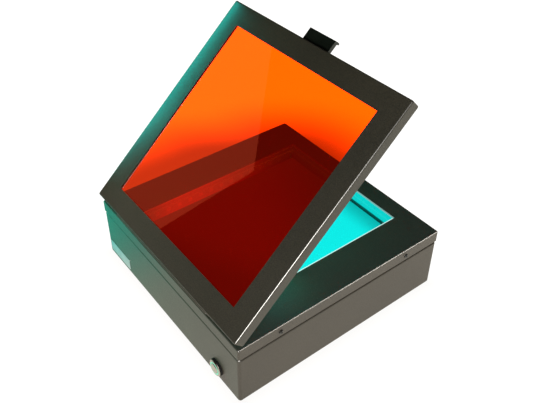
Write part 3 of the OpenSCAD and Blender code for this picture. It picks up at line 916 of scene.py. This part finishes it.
def lamp_row(node, inward):
    """The lamps of one side. inward is 1 where they face +X and -1 where they face -X."""
    boxes = solids(node)
    widest = max(high.y - low.y for low, high in boxes)
    bodies = [(low, high) for low, high in boxes if high.y - low.y > 0.9 * widest]
    points = []
    for low, high in bodies:
        back = low.x if inward > 0 else high.x
        points.append(Vector((back, (low.y + high.y) / 2, (low.z + high.z) / 2)))
    size = (bodies[0][1].y - bodies[0][0].y) / MM
    low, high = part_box(node)
    depth = (high.x - low.x) / MM
    shape = ring_stack(node + "_shape", lamp_rings(size, depth - LENS_HEIGHT, LENS_HEIGHT))
    facing = [(inward, 0, 0)] * len(points)
    mesh = stand_copies(node + "_row", shape, points, facing, FINISHES["led"])
    add_piece(node + "_row", soften(mesh), node)


lamp_row("leds_left", 1)
lamp_row("leds_right", -1)


# ---- floor, light and camera ----

EYE = Vector((-0.5258, 0.4027, 0.6658))
EYE_TURN, EYE_RISE, EYE_ROLL = 232.7293, 36.642, 0.1377
LENS, SENSOR = 46.763, 36.0
SHIFT_X, SHIFT_Y = 0.00785, -0.0737


def add_camera():
    turn, rise, roll = (math.radians(angle) for angle in (EYE_TURN, EYE_RISE, EYE_ROLL))
    back = Vector((math.sin(turn) * math.cos(rise), -math.cos(turn) * math.cos(rise), math.sin(rise)))
    right = Vector((0, 0, 1)).cross(back).normalized()
    over = back.cross(right)
    across = right * math.cos(roll) + over * math.sin(roll)
    above = over * math.cos(roll) - right * math.sin(roll)
    data = bpy.data.cameras.new("camera")
    data.lens, data.sensor_width = LENS, SENSOR
    data.shift_x, data.shift_y = SHIFT_X, SHIFT_Y
    data.clip_start, data.clip_end = 0.01, 50
    camera = bpy.data.objects.new("camera", data)
    camera.matrix_world = Matrix.Translation(EYE) @ Matrix((across, above, back)).transposed().to_4x4()
    bpy.context.scene.collection.objects.link(camera)
    bpy.context.scene.camera = camera


def add_floor():
    """A pale lit table top with a soft painted shadow round the box.
    Seen through the filter it carries a wider painted shadow, brighter away from the box. The light it throws on
    the box is cyan from a painted pool of light beyond the +X, +Y corner, where the window's light falls, with
    painted shade behind the box and near it."""
    work = bmesh.new()
    bmesh.ops.create_circle(work, cap_ends=True, segments=96, radius=12)
    mesh = bpy.data.meshes.new("table_top")
    work.to_mesh(mesh)
    work.free()
    mesh.transform(Matrix.Translation((0, 0, -0.1 * MM)))
    floor = bpy.data.objects.new("table_top", mesh)
    bpy.context.scene.collection.objects.link(floor)
    f = Finish("pale_table")
    x, y, _ = f.axes()
    inside = cad_corners[1].x - 6 * MM
    beyond_x = (abs(x) - inside).at_least(0)
    beyond_y = (abs(y) - inside).at_least(0)
    distance = (beyond_x * beyond_x + beyond_y * beyond_y).power(0.5)
    # Painted shadow: darker near the box.
    near = distance.rise(-0.005, 0.05)
    # Painted shadow seen through the filter, reaching further on the far side.
    far_side = (y + 0.17).rise(0.0, 0.12) * (x - 0.15).rise(0.0, 0.1)
    away = (distance - far_side * 0.045).rise(0.08, 0.24)
    # Painted shade behind the box, and a painted pool of cyan light beyond its +X, +Y corner.
    behind = y.rise(0.1, 0.18) * x.rise(-0.25, 0.1)
    pool_x, pool_y = x - 0.29, y - 0.27
    pool = 1 - (pool_x * pool_x + pool_y * pool_y).power(0.5).rise(0.1, 0.28)
    seen = f.glow((1.0, 0.99, 0.975), 0.97 + near * 0.2)
    filtered = f.glow((1.0, 1.0, 1.0), 0.5 + away * 3.7)
    thrown = f.mix(pool, (1.0, 0.96, 0.85), (0.02, 0.9, 0.8))
    cast = f.glow(thrown, (1.2 - behind * 0.35) * (near * 0.12 + 0.88))
    shader = f.blend(f.through("Camera"), cast, seen)
    mesh.materials.append(f.done(f.blend(f.through("Transmission"), shader, filtered)))


def only_on(light, nodes):
    """Keeps a light or card to the named pieces."""
    lit = bpy.data.collections.new(light.name + "_lights")
    for node in nodes:
        lit.objects.link(NODES[node])
    light.light_linking.receiver_collection = lit


def add_panel(name, place, aim, size, colour, radiance, only=None, unseen_by=()):
    """A soft rectangular light of the given size, set by how bright its face looks.
    only lists the pieces it lights, and unseen_by the kinds of ray that don't meet it."""
    data = bpy.data.lights.new(name, "AREA")
    data.shape = "RECTANGLE"
    data.size, data.size_y = size
    data.color = colour
    data.energy = radiance * math.pi * size[0] * size[1]
    light = bpy.data.objects.new(name, data)
    light.location = place
    light.rotation_mode = "QUATERNION"
    light.rotation_quaternion = (Vector(aim) - Vector(place)).to_track_quat("-Z", "Y")
    for kind in ("camera", "transmission", *unseen_by):
        setattr(light, "visible_" + kind, False)
    bpy.context.scene.collection.objects.link(light)
    if only:
        only_on(light, only)


def add_card(name, card_corners, colour, radiance, only):
    """A glowing card of four corners that shows only as light on the named pieces."""
    mesh = bpy.data.meshes.new(name)
    mesh.from_pydata(card_corners, [], [tuple(range(len(card_corners)))])
    card = bpy.data.objects.new(name, mesh)
    bpy.context.scene.collection.objects.link(card)
    f = Finish(name)
    mesh.materials.append(f.done(f.glow(colour, radiance)))
    for kind in ("camera", "transmission", "shadow"):
        setattr(card, "visible_" + kind, False)
    only_on(card, only)


def add_world():
    """White where it is seen, also straight through the filter, and nearly dark as a light."""
    world = bpy.data.worlds.new("studio")
    bpy.context.scene.world = world
    f = Finish("studio", world)
    seen = f.sky((1, 1, 1), 1.0)
    dim = f.sky((1.0, 0.98, 0.95), 0.01)
    filtered = f.sky((1, 1, 1), 4.2)
    bounces = f.node("ShaderNodeLightPath").outputs
    straight = f.blend(bounces["Glossy Depth"], f.blend(bounces["Diffuse Depth"], filtered, dim), dim)
    shader = f.blend(f.through("Transmission"), dim, straight)
    shader = f.blend(f.through("Camera"), shader, seen)
    f.node("ShaderNodeOutputWorld", None, {"Surface": shader})


add_camera()
add_floor()
add_world()

WARM = (1.0, 0.96, 0.9)
CYAN = (0.01, 0.9, 0.78)
BOX_SHELL = ["base_tray", "top_cover", "rating_plate"]
LID_FACE = ["lid_frame", "hinge_base_leaf", "hinge_lid_leaf"]

# A large reddish card that shows as a soft sheen across the filter.
VEIL_CORNERS = [(1.09, 0.39, 1.16), (0.875, 0.853, 0.931), (1.03, 1.14, 0.44), (1.5, 0.43, 0.62)]
add_card("veil_card", VEIL_CORNERS, (1.0, 0.14, 0.06), 2.0, ["amber_filter"])

# The window's light on the lid's +X edge. The corners are those of a shut lid.
EDGE_CORNERS = [(0.155, -0.15, 0.108), (0.158, -0.15, 0.12), (0.18, 0.03, 0.14), (0.17, 0.14, 0.108)]
EDGE_CARD = [LID_TURN @ Vector(corner) for corner in EDGE_CORNERS]
add_card("lid_edge_card", EDGE_CARD, CYAN, 8, ["lid_frame"])

# The window's light on the rear face, under the lid, in the corner by the hinge, and upward.
add_panel(
    "low_cyan_light",
    (0.27, 0.27, 0.10),
    (0.13, 0.15, 0.05),
    (0.15, 0.12),
    CYAN,
    29,
    BOX_SHELL,
    ["glossy"],
)
add_panel(
    "under_lid_glow",
    (0, 0.02, 0.17),
    (0, -0.1, 0.04),
    (0.24, 0.22),
    CYAN,
    1.5,
    unseen_by=["glossy"],
)
add_panel(
    "near_corner_glow",
    (-0.09, 0.07, 0.13),
    (-0.14, 0.12, 0.09),
    (0.06, 0.06),
    CYAN,
    3,
    ["top_cover"],
    ["glossy"],
)
add_panel("window_glow", (0, 0, HINGE_AXIS.z - 8 * MM), (0, 0, 1), (0.19, 0.24), CYAN, 3)

# Soft studio light on the lid's face.
add_panel(
    "hinge_soft_light",
    (0.3, 0.4, 0.3),
    (0.14, 0.14, 0.11),
    (0.15, 0.15),
    WARM,
    11,
    LID_FACE,
    ["glossy"],
)
add_panel(
    "top_soft_light",
    (-0.4, 0.45, 0.7),
    (-0.05, 0.05, 0.15),
    (0.5, 0.5),
    WARM,
    1.9,
    LID_FACE,
    ["glossy"],
)

# Bright lines along the folded edges.
add_panel(
    "rear_highlight",
    (-0.78, 0.92, 0.72),
    (-0.15, 0.1, 0.15),
    (0.45, 0.45),
    WARM,
    150,
    ["lid_frame", "base_tray", "top_cover"],
    ["diffuse"],
)
add_panel(
    "side_highlight",
    (-0.90, -0.59, 0.64),
    (0, 0, 0.1),
    (0.8, 0.8),
    WARM,
    25,
    ["top_cover"],
    ["diffuse"],
)

view = bpy.context.scene.view_settings
view.view_transform = "Standard"
view.look = "None"
